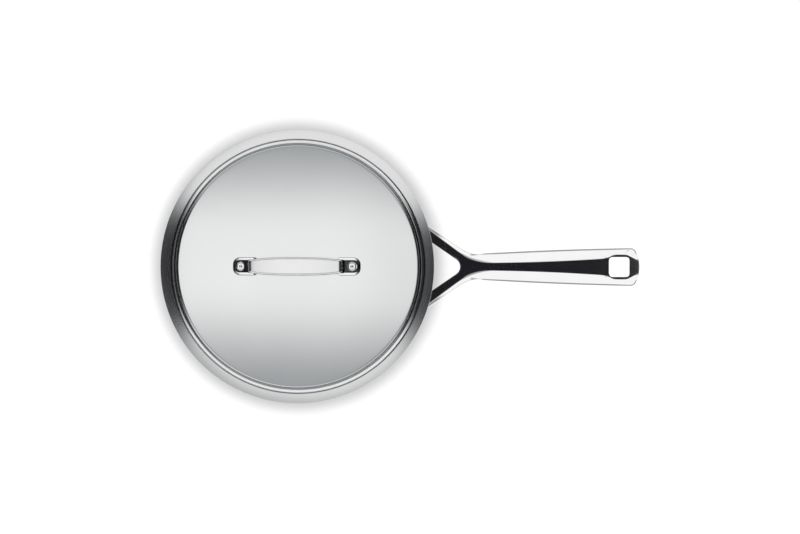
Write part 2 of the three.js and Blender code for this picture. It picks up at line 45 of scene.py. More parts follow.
print("frame loaded:", len(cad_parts), "nodes")


# Plain maths for outlines

def steps(start, end, count):
    return [start + (end - start) * i / count for i in range(count + 1)]


def mix(a, b, t):
    return a + (b - a) * t


def eased(t):
    t = min(max(t, 0), 1)
    return t * t * (3 - 2 * t)


def sinOf(angle):
    return math.sin(math.radians(angle))


def cosOf(angle):
    return math.cos(math.radians(angle))


def tanOf(angle):
    return math.tan(math.radians(angle))


def turnOf(p):
    return math.degrees(math.atan2(p.y, p.x))


def arc(centre, radius, start, end, count):
    points = []
    for a in steps(start, end, count):
        points.append(Vector((centre[0] + radius * cosOf(a), centre[1] + radius * sinOf(a))))
    return points


def curve(start, pull, end, count):
    return [start.lerp(pull, t).lerp(pull.lerp(end, t), t) for t in steps(0, 1, count)]


# Shares of a side that a rounded corner and its holding points may take, and how far the two stand apart
rounding = {"most": 0.46, "holdMost": 0.49, "hold": 0.15}
wide = 50  # a reach as far as the sides allow


def softened(corners, reaches, closed=True, cuts=4):
    # a corner with a reach becomes a short curve that leaves and rejoins the line that far away, and a point
    # close to each end of the curve keeps the line beside it flat
    points = []
    for i, corner in enumerate(corners):
        if not reaches[i] or (not closed and i in (0, len(corners) - 1)):
            points.append(corner)
            continue
        ends, holds = [], []
        for other in (corners[i - 1], corners[(i + 1) % len(corners)]):
            side = other - corner
            length = max(side.length, 1e-6)
            share = min(reaches[i] / length, rounding["most"])
            ends.append(corner + side * share)
            holds.append(corner + side * min(share + rounding["hold"] / length, rounding["holdMost"]))
        points += [holds[0]] + curve(ends[0], corner, ends[1], cuts) + [holds[1]]
    return points


# Meshes

def piece(name, points, faces, crease=35):
    mesh = bpy.data.meshes.new(name)
    mesh.from_pydata([Vector(p) * mm for p in points], [], faces)
    work = bmesh.new()
    work.from_mesh(mesh)
    bmesh.ops.remove_doubles(work, verts=work.verts, dist=1e-6)
    bmesh.ops.recalc_face_normals(work, faces=work.faces)
    work.to_mesh(mesh)
    work.free()
    made = bpy.data.objects.new(name, mesh)
    bpy.context.scene.collection.objects.link(made)
    smoothed(made, crease)
    return made


def smoothed(made, crease):
    made.data.shade_smooth()
    made.data.set_sharp_from_angle(angle=math.radians(crease))


def turned(name, profile, segments=240):
    # surface of revolution about the Z axis; a point on the axis is one vertex
    points, faces, rings = [], [], []
    for radius, height in profile:
        count = 1 if radius < 1e-6 else segments
        rings.append(range(len(points), len(points) + count))
        for j in range(count):
            turn = 360 * j / segments
            points.append((radius * cosOf(turn), radius * sinOf(turn), height))
    for low, high in zip(rings, rings[1:]):
        for j in range(segments):
            k = (j + 1) % segments
            face = [low[j % len(low)], low[k % len(low)], high[k % len(high)], high[j % len(high)]]
            faces.append(list(dict.fromkeys(face)))
    return piece(name, points, faces)


def strip(rings, points, faces, closed=True):
    # faces between neighbouring rings of equal count
    start, count = len(points), len(rings[0])
    for ring in rings:
        points.extend(ring)
    for i in range(len(rings) - 1):
        for j in range(count if closed else count - 1):
            a, b = start + i * count + j, start + i * count + (j + 1) % count
            faces.append((a, b, b + count, a + count))


def cap(ring, points, faces):
    # fan from a ring to its middle
    middle = len(points)
    points.append(sum(ring, Vector((0, 0, 0))) / len(ring))
    start = len(points)
    points.extend(ring)
    for j in range(len(ring)):
        faces.append((middle, start + j, start + (j + 1) % len(ring)))


def shifted(made, x):
    for vertex in made.data.vertices:
        vertex.co.x += x * mm
    return made


def joined(made, other, operation):
    # boolean with another piece, which is used up
    change = made.modifiers.new("change", "BOOLEAN")
    change.operation = operation
    change.solver = "EXACT"
    change.object = other
    ready = made.evaluated_get(bpy.context.evaluated_depsgraph_get())
    mesh = bpy.data.meshes.new_from_object(ready)
    made.modifiers.clear()
    made.data = mesh
    bpy.data.objects.remove(other)


def dress(made, finish, body, slot, *nodes):
    made.data.materials.clear()
    made.data.materials.append(finish)
    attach(made, body)
    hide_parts(*nodes)


# Shader nodes

class Sock:
    # a node's output; sums on it add Math nodes
    def __init__(self, shop, socket):
        self.shop = shop
        self.socket = socket

    def sum(self, operation, first, second):
        return self.shop.node("Math", {"operation": operation}, {0: first, 1: second})["Value"]

    def __add__(self, other):
        return self.sum("ADD", self, other)

    def __sub__(self, other):
        return self.sum("SUBTRACT", self, other)

    def __rsub__(self, other):
        return self.sum("SUBTRACT", other, self)

    def __mul__(self, other):
        return self.sum("MULTIPLY", self, other)

    def __truediv__(self, other):
        return self.sum("DIVIDE", self, other)

    def __rtruediv__(self, other):
        return self.sum("DIVIDE", other, self)

    def __pow__(self, other):
        return self.sum("POWER", self, other)

    def __abs__(self):
        return self.sum("ABSOLUTE", self, 0.0)

    __radd__ = __add__
    __rmul__ = __mul__

    def between(self, low, high):
        # 0 below low, 1 above high, eased between
        settings = {"interpolation_type": "SMOOTHSTEP", "clamp": True}
        sockets = {"Value": self, "From Min": low, "From Max": high}
        return self.shop.node("MapRange", settings, sockets)["Result"]

    def atLeast(self, count):
        # 1 where a whole number reaches the count
        return self.between(count - 0.8, count - 0.2)


class Made:
    def __init__(self, shop, node):
        self.shop = shop
        self.node = node

    def __getitem__(self, name):
        return Sock(self.shop, self.node.outputs[name])


class Shop:
    # the node tree of one material or of the world
    def __init__(self, owner):
        owner.use_nodes = True
        self.tree = owner.node_tree
        self.tree.nodes.clear()

    def node(self, kind, settings=None, sockets=None):
        made = self.tree.nodes.new("ShaderNode" + kind)
        for name, value in (settings or {}).items():
            if name == "stops":
                ramp = made.color_ramp.elements
                for i, (place, colour) in enumerate(value):
                    stop = ramp[i] if i < 2 else ramp.new(place)
                    stop.position = place
                    stop.color = colour
            else:
                setattr(made, name, value)
        for name, value in (sockets or {}).items():
            if isinstance(value, Sock):
                self.tree.links.new(value.socket, made.inputs[name])
            else:
                made.inputs[name].default_value = value
        return Made(self, made)

    def blend(self, share, first, second):
        # colours, first at share 0
        return self.node("Mix", {"data_type": "RGBA"}, {0: share, 6: first, 7: second})[2]


steel = {
    "lean": 0.5, "lineDetail": 4.0, "cloudDetail": 3.0, "cloudFrom": (0.35, 0.7),
    "scratchScale": 900.0, "scratchDetail": 2.0, "scratchFrom": (0.66, 0.72), "bumpHeight": 0.0001,
}


def steelFinish(name, look):
    # spun or drawn steel: fine lines, a cloudy change of gloss, and stray hairline scratches
    finish = bpy.data.materials.new(name)
    shop = Shop(finish)
    place = shop.node("TexCoord")["Object"]
    split = shop.node("SeparateXYZ", {}, {"Vector": place})
    x, y, z = split["X"], split["Y"], split["Z"]
    if look["spun"]:
        across = (x * x + y * y) ** 0.5 + z  # the lines run round the axis
    else:
        across = y + z * steel["lean"]  # the lines run along the handle
    sockets = {"W": across, "Scale": look["lineScale"], "Detail": steel["lineDetail"]}
    lines = shop.node("TexNoise", {"noise_dimensions": "1D"}, sockets)["Fac"]
    sockets = {"Vector": place, "Scale": look["cloudScale"], "Detail": steel["cloudDetail"]}
    cloud = shop.node("TexNoise", {}, sockets)["Fac"]
    stretch = shop.node("Mapping", {}, {"Vector": place, "Scale": look["scratchStretch"]})["Vector"]
    sockets = {"Vector": stretch, "Scale": steel["scratchScale"], "Detail": steel["scratchDetail"]}
    scratch = shop.node("TexNoise", {}, sockets)["Fac"].between(*steel["scratchFrom"])
    rough = look["rough"] + (lines - 0.5) * look["lineRough"] + (cloud - 0.5) * look["cloudRough"]
    rough = rough + scratch * look["scratchRough"] + z.between(*look["satinFrom"]) * look["satin"]
    tone = shop.blend(cloud.between(*steel["cloudFrom"]), look["shade"], look["tone"])
    height = lines * look["lineDepth"] + scratch * look["scratchDepth"]
    sockets = {"Strength": look["bump"], "Distance": steel["bumpHeight"], "Height": height}
    bump = shop.node("Bump", {}, sockets)["Normal"]
    sockets = {"Base Color": tone, "Metallic": 1.0, "Roughness": rough, "Normal": bump}
    shader = shop.node("BsdfPrincipled", {}, sockets)["BSDF"]
    shop.node("OutputMaterial", {}, {"Surface": shader})
    return finish


spunLid = steelFinish("spun_lid_steel", {
    "spun": True, "tone": (0.83, 0.84, 0.845, 1), "shade": (0.81, 0.82, 0.825, 1),
    "rough": 0.13, "satinFrom": (0, 1), "satin": 0.0,
    "lineScale": 2600.0, "lineRough": 0.05, "cloudScale": 16.0, "cloudRough": 0.03,
    "scratchStretch": (1.0, 0.05, 1.0), "scratchRough": 0.03,
    "lineDepth": 0.5, "scratchDepth": 0.2, "bump": 0.03,
})
satinPan = steelFinish("satin_pan_steel", {
    "spun": True, "tone": (0.78, 0.785, 0.785, 1), "shade": (0.75, 0.755, 0.76, 1),
    "rough": 0.22, "satinFrom": (0, 1), "satin": 0.0,
    "lineScale": 1800.0, "lineRough": 0.09, "cloudScale": 12.0, "cloudRough": 0.05,
    "scratchStretch": (1.0, 1.0, 0.04), "scratchRough": 0.05,
    "lineDepth": 0.6, "scratchDepth": 0.2, "bump": 0.05,
})
polishedCast = steelFinish("polished_cast_steel", {
    "spun": False, "tone": (0.94, 0.94, 0.94, 1), "shade": (0.91, 0.912, 0.916, 1),
    "rough": 0.07, "satinFrom": (0, 1), "satin": 0.0,
    "lineScale": 1500.0, "lineRough": 0.02, "cloudScale": 30.0, "cloudRough": 0.03,
    "scratchStretch": (0.04, 1.0, 1.0), "scratchRough": 0.01,
    "lineDepth": 0.3, "scratchDepth": 0.01, "bump": 0.02,
})
satinStrap = steelFinish("satin_strap_steel", {
    "spun": False, "tone": (0.92, 0.924, 0.924, 1), "shade": (0.9, 0.905, 0.91, 1),
    "rough": 0.09, "satinFrom": (0.0905, 0.0977), "satin": 0.16,
    "lineScale": 1800.0, "lineRough": 0.02, "cloudScale": 24.0, "cloudRough": 0.03,
    "scratchStretch": (0.04, 1.0, 1.0), "scratchRough": 0.03,
    "lineDepth": 0.3, "scratchDepth": 0.1, "bump": 0.02,
})
coreMetal = steelFinish("core_aluminium", {
    "spun": True, "tone": (0.72, 0.725, 0.735, 1), "shade": (0.66, 0.665, 0.68, 1),
    "rough": 0.42, "satinFrom": (0, 1), "satin": 0.0,
    "lineScale": 3000.0, "lineRough": 0.1, "cloudScale": 40.0, "cloudRough": 0.08,
    "scratchStretch": (1.0, 1.0, 0.1), "scratchRough": 0.05,
    "lineDepth": 0.5, "scratchDepth": 0.3, "bump": 0.1,
})
print("finishes made")


# Pan body: three layers of one drawn sheet, from the cooking surface outward
pan = {
    "innerRadius": 120, "height": 72, "baseCorner": 14, "bend": 5, "flare": 32, "flareSwell": 0.25,
    "overhang": 14.7,
    "innerSteel": 0.6, "core": 1.6, "outerSteel": 0.6, "bondLine": 0.05, "lipEdge": 0.22,
}
wall = pan["innerSteel"] + pan["core"] + pan["outerSteel"] + 2 * pan["bondLine"]
wallOuter = pan["innerRadius"] + wall
lipRadius = pan["innerRadius"] + pan["overhang"]
bendTurn = 90 - pan["flare"]
bendEndRadius = pan["innerRadius"] + pan["bend"] * (1 - cosOf(bendTurn))
bendEndHeight = pan["height"] - (lipRadius - bendEndRadius) * tanOf(pan["flare"])
bendStartHeight = bendEndHeight - pan["bend"] * sinOf(bendTurn)
cornerTop = wall + pan["baseCorner"]


def panLine(depth):
    corner = (pan["innerRadius"] - pan["baseCorner"], cornerTop)
    bend = (pan["innerRadius"] + pan["bend"], bendStartHeight)
    line = [Vector((r, wall - depth)) for r in steps(0, corner[0], 12)]
    line += arc(corner, pan["baseCorner"] + depth, -90, 0, 14)[1:]
    line += [Vector((pan["innerRadius"] + depth, z)) for z in steps(cornerTop, bendStartHeight, 8)[1:]]
    line += arc(bend, pan["bend"] - depth, 180, 180 - bendTurn, 10)[1:]
    tip = Vector((lipRadius, pan["height"] - depth / cosOf(pan["flare"])))
    swell = Vector((-sinOf(pan["flare"]), cosOf(pan["flare"]))) * 2 * pan["flareSwell"]
    return line + curve(line[-1], line[-1].lerp(tip, 0.5) + swell, tip, 8)[1:]


def sheetProfile(lineAt, near, far, edge):
    # from the axis out along the far side, round the cut edge and back along the near side
    outward, back = lineAt(far), lineAt(near)[::-1]
    reaches = [0] * (len(outward) - 1) + [edge, edge] + [0] * (len(back) - 1)
    return softened(outward + back, reaches, closed=False)


coreNear = pan["innerSteel"] + pan["bondLine"]
coreFar = coreNear + pan["core"]
innerSkin = turned("pan_inner_skin", sheetProfile(panLine, 0, pan["innerSteel"], pan["lipEdge"]))
coreSheet = turned("pan_core_sheet", sheetProfile(panLine, coreNear, coreFar, pan["lipEdge"]))
outerSkin = turned("pan_outer_skin", sheetProfile(panLine, coreFar + pan["bondLine"], wall, pan["lipEdge"]))
dress(innerSkin, satinPan, "pan", "satin_steel", "pan_inner_layer")
dress(coreSheet, coreMetal, "pan", "core_aluminium", "pan_core_layer")
dress(outerSkin, satinPan, "pan", "satin_steel", "pan_outer_layer")
print("pan body made")


# Lid: a rolled rim lies on the flare, then come a groove, a step, a rounded brim and a shallow dome
lid = {
    "sheet": 1, "edgeReach": 5.3, "edgeSheet": 0.6, "crestReach": 2.6, "crestRise": 1.56, "rimWall": 37,
    "rimUnder": 8, "rimSwell": (1.35, 0.63), "crestRound": (0.03, 0.05), "grooveReach": 0.27, "groove": 0.15,
    "stepAngle": 77, "stepLength": 1.8, "shoulder": 1.3, "brim": 9, "brimSlope": 21, "domeSlope": 7.3,
    "seatGap": 0.3, "cutEdge": 0.3,
}


def flareHeight(radius):
    return bendEndHeight + (radius - bendEndRadius) * tanOf(pan["flare"])


lidEdge = pan["innerRadius"] + lid["edgeReach"]
edgeLow = Vector((lidEdge, flareHeight(lidEdge) + lid["seatGap"] / cosOf(pan["flare"])))
edgeTop = edgeLow + Vector((0, lid["edgeSheet"] / cosOf(pan["flare"])))
crest = Vector((pan["innerRadius"] + lid["crestReach"], edgeTop.y + lid["crestRise"]))
grooveRadius = pan["innerRadius"] + lid["grooveReach"]
wallRun = crest.x - grooveRadius - lid["groove"] * sinOf(lid["rimWall"])
grooveHeight = crest.y - wallRun * tanOf(lid["rimWall"]) + lid["groove"] * cosOf(lid["rimWall"])
bothRounds = lid["groove"] + lid["shoulder"]
stepAcross, stepUp = cosOf(lid["stepAngle"]), sinOf(lid["stepAngle"])
shoulderRadius = grooveRadius - bothRounds * stepUp - lid["stepLength"] * stepAcross
shoulderHeight = grooveHeight - bothRounds * stepAcross + lid["stepLength"] * stepUp
brimRadius = shoulderRadius - (lid["brim"] - lid["shoulder"]) * sinOf(lid["brimSlope"])
brimHeight = shoulderHeight - (lid["brim"] - lid["shoulder"]) * cosOf(lid["brimSlope"])
domeRadius = brimRadius / sinOf(lid["domeSlope"]) + lid["brim"]
domeCentre = brimHeight - (domeRadius - lid["brim"]) * cosOf(lid["domeSlope"])
domeTop = domeCentre + domeRadius


def domeHeight(radius):
    return domeCentre + math.sqrt(domeRadius ** 2 - radius ** 2)


def lidLine(depth):
    shoulder = (shoulderRadius, shoulderHeight)
    groove = (grooveRadius, grooveHeight)
    domeTurn = 90 - lid["domeSlope"]
    brimTurn = 90 - lid["brimSlope"]
    line = arc((0, domeCentre), domeRadius - depth, 90, domeTurn, 28)[:-1]
    line[0].x = 0
    line += arc((brimRadius, brimHeight), lid["brim"] - depth, domeTurn, brimTurn, 8)[:-1]
    line += arc(shoulder, lid["shoulder"] - depth, brimTurn, 90 - lid["stepAngle"], 10)
    grooveTurn = -90 - lid["stepAngle"]
    if depth:
        return line + arc(groove, lid["groove"] + depth, grooveTurn, lid["rimUnder"] - 90, 16) + [edgeLow]
    line += arc(groove, lid["groove"], grooveTurn, lid["rimWall"] - 90, 16)
    swell = crest + Vector((lid["rimSwell"][0], -lid["rimSwell"][1]))
    before, after = lid["crestRound"]
    ridge = curve(crest.lerp(line[-1], before), crest, crest.lerp(swell, after), 4)
    return line + ridge + curve(ridge[-1], swell, edgeTop, 10)[1:]


lidSheet = turned("lid_sheet", sheetProfile(lidLine, 0, lid["sheet"], lid["cutEdge"]))
dress(lidSheet, spunLid, "lid", "polished_steel", "lid_shell")
print("lid made")


# Strap handle of the lid: an arch on two legs, each standing on a ramped foot
strap = {
    "archHeight": 25, "archRadius": 270, "halfSpan": 41.6, "corner": 5, "legAngle": 82, "thickness": 4.5,
    "midWidth": 17.4, "legWidth": 13.4, "taper": 3, "edge": 2.2,
    "toeReach": 15.2, "footLength": 22.5, "footWidth": 17.7, "toeRadius": 7, "heelRadius": 3,
    "toeThickness": 2.8, "ramp": 17, "bevel": 2.5, "bevelDrop": 1.6, "bevelEdge": 0.7, "topInset": 0.3,
    "creaseAngle": 32,
}
lidRivet = {
    "inset": 8.3, "shank": 2.6, "head": 4.2, "headHeight": 2, "headEdge": 0.2, "fullness": 0.6,
    "dimple": 1.5, "dimpleDepth": 1.6, "dimpleEdge": 0.5, "tail": 6, "tailHeight": 1.4, "tailLowEdge": 0.9,
    "tailTopEdge": 0.2, "spotFace": 0.2, "clearance": 0.25,
}
archTop = domeTop + strap["archHeight"]
archEnd = math.degrees(math.asin(strap["halfSpan"] / strap["archRadius"]))
archEndHeight = archTop - strap["archRadius"] * (1 - cosOf(archEnd))
legTopX = strap["halfSpan"] + strap["corner"] * (sinOf(strap["legAngle"]) - sinOf(archEnd))
legTopZ = archEndHeight - strap["corner"] * (cosOf(archEnd) - cosOf(strap["legAngle"]))
rampAtLeg = strap["toeThickness"] + strap["toeReach"] * tanOf(strap["ramp"])
legDrop = legTopZ - domeHeight(legTopX) - lid["seatGap"] - rampAtLeg
footEnd = legTopX + legDrop / tanOf(strap["legAngle"]) + strap["toeReach"]
lidRivetAt = footEnd - lidRivet["inset"]


def rampRise(x):
    return strap["toeThickness"] + (footEnd - x) * tanOf(strap["ramp"])


def footOutline(inset):
    # the points go round from the toe's lower side
    half = (strap["footLength"] / 2 - inset, strap["footWidth"] / 2 - inset)
    outline = []
    for sx, sy, start in ((1, -1, -90), (1, 1, 0), (-1, 1, 90), (-1, -1, 180)):
        radius = (strap["toeRadius"] if sx > 0 else strap["heelRadius"]) - inset
        outline += arc((sx * (half[0] - radius), sy * (half[1] - radius)), radius, start, start + 90, 8)
    return [p + Vector((footEnd - strap["footLength"] / 2, 0)) for p in outline]


def strapFoot():
    def at(p, rise):
        return Vector((p.x, p.y, domeHeight(p.length) + lid["seatGap"] + rise))
    columns = []
    for low, high in zip(footOutline(0), footOutline(strap["bevel"])):
        inside = high.lerp(Vector((footEnd - strap["footLength"] / 2, 0)), strap["topInset"])
        corners = [
            at(low, 0), at(low, rampRise(low.x) - strap["bevelDrop"]), at(high, rampRise(high.x)),
            at(inside, rampRise(inside.x)),
        ]
        columns.append(softened(corners, [0, strap["bevelEdge"], strap["bevelEdge"], 0], closed=False))
    rings = [list(ring) for ring in zip(*columns)]
    points, faces = [], []
    strip(rings, points, faces)
    cap(rings[0], points, faces)
    cap(rings[-1], points, faces)
    return piece("strap_foot", points, faces)


def strapSection(x, z, slope):
    share = min(abs(x) / strap["halfSpan"], 1)
    half = mix(strap["midWidth"], strap["legWidth"], share ** strap["taper"]) / 2
    corners = []
    for y, down in ((half, strap["thickness"]), (half, 0), (-half, 0), (-half, strap["thickness"])):
        corners.append(Vector((x - down * sinOf(slope), y, z - down * cosOf(slope))))
    return softened(corners, [strap["edge"]] * 4, cuts=6)


def strapArch():
    line = []
    for slope in steps(0, archEnd, 14):
        z = archTop - strap["archRadius"] * (1 - cosOf(slope))
        line.append((strap["archRadius"] * sinOf(slope), z, slope))
    for slope in steps(archEnd, strap["legAngle"], 12)[1:]:
        x = strap["halfSpan"] + strap["corner"] * (sinOf(slope) - sinOf(archEnd))
        line.append((x, archEndHeight - strap["corner"] * (cosOf(archEnd) - cosOf(slope)), slope))
    sunk = legDrop + rampAtLeg / 2
    line.append((legTopX + sunk / tanOf(strap["legAngle"]), legTopZ - sunk, strap["legAngle"]))
    line = [(-x, z, -slope) for x, z, slope in line[:0:-1]] + line
    rings = [strapSection(*place) for place in line]
    points, faces = [], []
    strip(rings, points, faces)
    cap(rings[0], points, faces)
    cap(rings[-1], points, faces)
    return piece("lid_strap", points, faces)


seatRadius = lidRivet["head"] + lidRivet["clearance"]
seatHeight = (
    domeHeight(lidRivetAt) + lid["seatGap"] + rampRise(lidRivetAt + seatRadius) - lidRivet["spotFace"])


def mirrored(made, name):
    # the same piece on the other side of the YZ plane
    mesh = made.data.copy()
    for vertex in mesh.vertices:
        vertex.co.x = -vertex.co.x
    mesh.flip_normals()
    other = bpy.data.objects.new(name, mesh)
    bpy.context.scene.collection.objects.link(other)
    return other


def spotFace():
    profile = [(0, seatHeight), (seatRadius, seatHeight), (seatRadius, archTop), (0, archTop)]
    return shifted(turned("spot_face", profile, 64), lidRivetAt)


strapBody = strapArch()
foot = strapFoot()
otherFoot = mirrored(foot, "other_foot")
seat = spotFace()
otherSeat = mirrored(seat, "other_seat")
joined(strapBody, foot, "UNION")
joined(strapBody, otherFoot, "UNION")
joined(strapBody, seat, "DIFFERENCE")
joined(strapBody, otherSeat, "DIFFERENCE")
smoothed(strapBody, strap["creaseAngle"])
dress(strapBody, satinStrap, "lid", "polished_steel", "lid_handle")


def lidRivetProfile():
    shank, head, tail = lidRivet["shank"], lidRivet["head"], lidRivet["tail"]
    tailTop = domeHeight(lidRivetAt + tail) - lid["sheet"] / cosOf(lid["domeSlope"]) - lid["seatGap"]
    tailLow = tailTop - lidRivet["tailHeight"]
    base = seatHeight + lid["seatGap"]
    dome = []
    for a in steps(0, 90, 14):
        out = abs(cosOf(a)) ** lidRivet["fullness"]
        up = sinOf(a) ** lidRivet["fullness"]
        dome.append(Vector((mix(lidRivet["dimple"], head, out), base + lidRivet["headHeight"] * up)))
    corners = [
        Vector((0, tailLow)), Vector((tail, tailLow)), Vector((tail, tailTop)),
        Vector((shank, tailTop)), Vector((shank, base)),
    ]
    corners += dome + [Vector((0, base + lidRivet["headHeight"] - lidRivet["dimpleDepth"]))]
    reaches = [0, lidRivet["tailLowEdge"], lidRivet["tailTopEdge"], 0, 0, lidRivet["headEdge"]]
    reaches += [0] * (len(dome) - 2) + [lidRivet["dimpleEdge"], 0]
    return softened(corners, reaches, closed=False)


for side, sign in (("left", -1), ("right", 1)):
    rivet = turned("lid_rivet_head_" + side, lidRivetProfile(), 64)
    shifted(rivet, sign * lidRivetAt)
    dress(rivet, polishedCast, "lid", "polished_steel", "lid_rivet_" + side)
print("strap handle and its rivets made")


# Long handle: a fork of two arms with a foot each, a bevelled grip and a hanging hole
handle = {
    "forkPoint": 32.6, "forkAngle": 35.4, "crotch": 8.8, "landTurn": 2,
    "armWidth": 11.7, "armOuterBevel": 4.75, "armInnerBevel": 0.9, "innerStrip": 3.6,
    "neckReach": 45.3, "neckHalf": 13.1, "neckBlend": 10, "landBlend": 21, "endHalf": 18, "widening": 1.75,
    "neckLand": 3.95, "gripLand": 9, "endLand": 5.7,
    "endCorner": 3.8, "endBow": 2.8, "endBevel": 0.6, "endDrop": 0.42,
    "holeLength": 18, "holeWidth": 18.6, "holeCorner": 3, "holeMargin": 9, "holeRim": 2.4, "holeEdge": 0.15,
    "holeStep": 0.08, "holeCrease": 0.15, "holeBlend": 8, "holeLead": 12, "stepShare": 0.1, "stepRound": 0.1,
    "tilt": 21, "armThickness": 10, "gripThickness": 12.5, "armDrop": 3.6, "gripDrop": 6.8,
    "innerDrop": 0.7, "edgeStart": 0.85, "edgeDrop": 0.785, "flankInset": 0.09, "bellyInset": 0.34,
    "bevelKnee": 0.5, "bevelCrown": 0.01, "leastEdge": 0.5, "neckShare": 0.25,
    "landCrease": 0.5, "neckCrease": 2.4, "outerEdge": 0.3, "innerEdge": 0.5, "bellyEdge": 3,
    "creaseAngle": 38,
}
# Points of the land's edge beside the hole: x from one end of the hole, y from the full width of the rim
rim = {
    "lead": 10, "leadPull": (-2.2, 0.45), "swellMiddle": (1.5, -1.7), "swellPull": (3.6, -0.1),
    "swellEnd": 8, "fallStart": -4.5, "fallPull": (-1.6, -0.1), "fallEnd": (0.8, -1.7),
}
pad = {
    "sideMargin": 2, "rivetMargin": 1.7, "thickness": 3.6, "edge": 0.9, "fillet": 1.6, "squareness": 3.4,
    "webShares": (0.4, 0.75), "armToRivet": 2.2, "seatGap": 0.3,
}
wallRivet = {"shank": 2.5, "head": 6, "headHeight": 1.8, "tail": 4.4, "tailHeight": 2}
fork = handle["forkAngle"]
forkX = lipRadius + handle["forkPoint"]
armAlong = Vector((-cosOf(fork), sinOf(fork)))
armAcross = Vector((sinOf(fork), cosOf(fork)))
padFace = wallOuter + pad["seatGap"]
padBack = padFace + pad["thickness"]
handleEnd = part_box("long_handle")[1].x / mm
neckX = lipRadius + handle["neckReach"]
crotchReach = handle["crotch"] / tanOf(fork)
crotchCentre = forkX - handle["crotch"] / sinOf(fork)
crotchInnerX = crotchCentre + handle["crotch"]
crotchLandX = (crotchInnerX + neckX) / 2
holeMiddle = handleEnd - handle["holeMargin"] - handle["holeLength"] / 2
landEndX = handleEnd - handle["endHalf"]


def armPoint(offset, distance):
    return Vector((forkX, 0)) + armAcross * offset + armAlong * distance


def armAtRadius(offset, radius):
    start = armPoint(offset, 0)
    along = start.dot(armAlong)
    return armPoint(offset, -along - math.sqrt(along ** 2 - start.length_squared + radius ** 2))


landing = armAtRadius(handle["armWidth"] / 2, padFace + pad["thickness"] / 2)
padTurn = turnOf(landing)
padMiddle = (cornerTop + bendStartHeight) / 2
rivetRise = handle["armThickness"] / 2 + pad["armToRivet"] + wallRivet["tail"]


def landHeight(x):
    return padMiddle + handle["armThickness"] / 2 + (x - landing.x) * tanOf(handle["tilt"])


def gripHalf(x):
    share = min(max((x - neckX) / (handleEnd - neckX), 0), 1)
    return mix(handle["neckHalf"], handle["endHalf"], 1 - (1 - share) ** handle["widening"])


def landHalf(x):
    share = min(max((x - neckX) / (landEndX - neckX), 0), 1)
    return mix(handle["neckLand"], handle["gripLand"], share ** 2)


def bevelTop(x):
    # half width at the top of the grip's bevels, which narrows past the hole
    start, end = holeMiddle + handle["holeLength"] / 2, handleEnd - handle["endBevel"]
    return mix(landHalf(x), handle["endLand"], min(max((x - start) / (end - start), 0), 1))


def neckEdge(offset, turn, half, blend):
    # y over x of an edge: a straight line on the arm, rounded over the neck into a half width
    vertexX = forkX + offset / sinOf(turn)
    corner = Vector((vertexX - half(neckX) / tanOf(turn), half(neckX)))
    start = corner + Vector((-cosOf(turn), sinOf(turn))) * blend
    end = Vector((corner.x + blend, half(corner.x + blend)))

    def edge(x):
        if x <= start.x:
            return (vertexX - x) * tanOf(turn)
        if x >= end.x:
            return half(x)
        bend = start.x - 2 * corner.x + end.x
        run = corner.x - start.x
        t = (math.sqrt(run ** 2 + bend * (x - start.x)) - run) / bend
        return start.lerp(corner, t).lerp(corner.lerp(end, t), t).y
    return edge


def onEdge(edge, x):
    return Vector((x, edge(x)))


landOffset = handle["armWidth"] - handle["armOuterBevel"]
outerEdge = neckEdge(handle["armWidth"], fork, gripHalf, handle["neckBlend"])
landEdge = neckEdge(landOffset, fork + handle["landTurn"], landHalf, handle["landBlend"])

# A rung holds five plan points: inner edge, inner and middle land, outer land and outer edge
stripOffset = handle["armInnerBevel"] + handle["innerStrip"]
armOffsets = [0, handle["armInnerBevel"], stripOffset, landOffset, handle["armWidth"]]


def armRung(radius):
    rung = [armAtRadius(offset, radius) for offset in armOffsets]
    return rung[:3] + [onEdge(landEdge, rung[3].x), rung[4]]


def armRungs(count):
    root = armRung(padBack + pad["fillet"])
    tip = [armPoint(offset, crotchReach) for offset in armOffsets]
    rungs = []
    for t in steps(0, 1, count):
        rung = [a.lerp(b, t) for a, b in zip(root, tip)]
        rungs.append(rung[:3] + [onEdge(landEdge, rung[3].x), onEdge(outerEdge, rung[4].x)])
    return rungs


def crotchRungs(count):
    outerStart = armPoint(handle["armWidth"], crotchReach).x
    landStart = armPoint(landOffset, crotchReach).x
    rungs = []
    for t in steps(0, 1, count):
        turn = mix(90 - fork, 0, t)
        way = Vector((cosOf(turn), sinOf(turn)))
        rung = [Vector((crotchCentre, 0)) + way * (handle["crotch"] + offset) for offset in armOffsets[:3]]
        land = onEdge(landEdge, mix(landStart, crotchLandX, t))
        rungs.append(rung + [land, onEdge(outerEdge, mix(outerStart, neckX - handle["neckBlend"] / 2, t))])
    return rungs


def holeHalf(grow):
    # half outline of the hanging hole about its middle, grown evenly, from the grip's side to the end's
    along = handle["holeLength"] / 2 + grow
    across = handle["holeWidth"] / 2 + grow
    corner = handle["holeCorner"] + grow
    path = [Vector((-along, 0))] + arc((corner - along, across - corner), corner, 180, 90, 10)
    return path + arc((along - corner, across - corner), corner, 90, 0, 10) + [Vector((along, 0))]


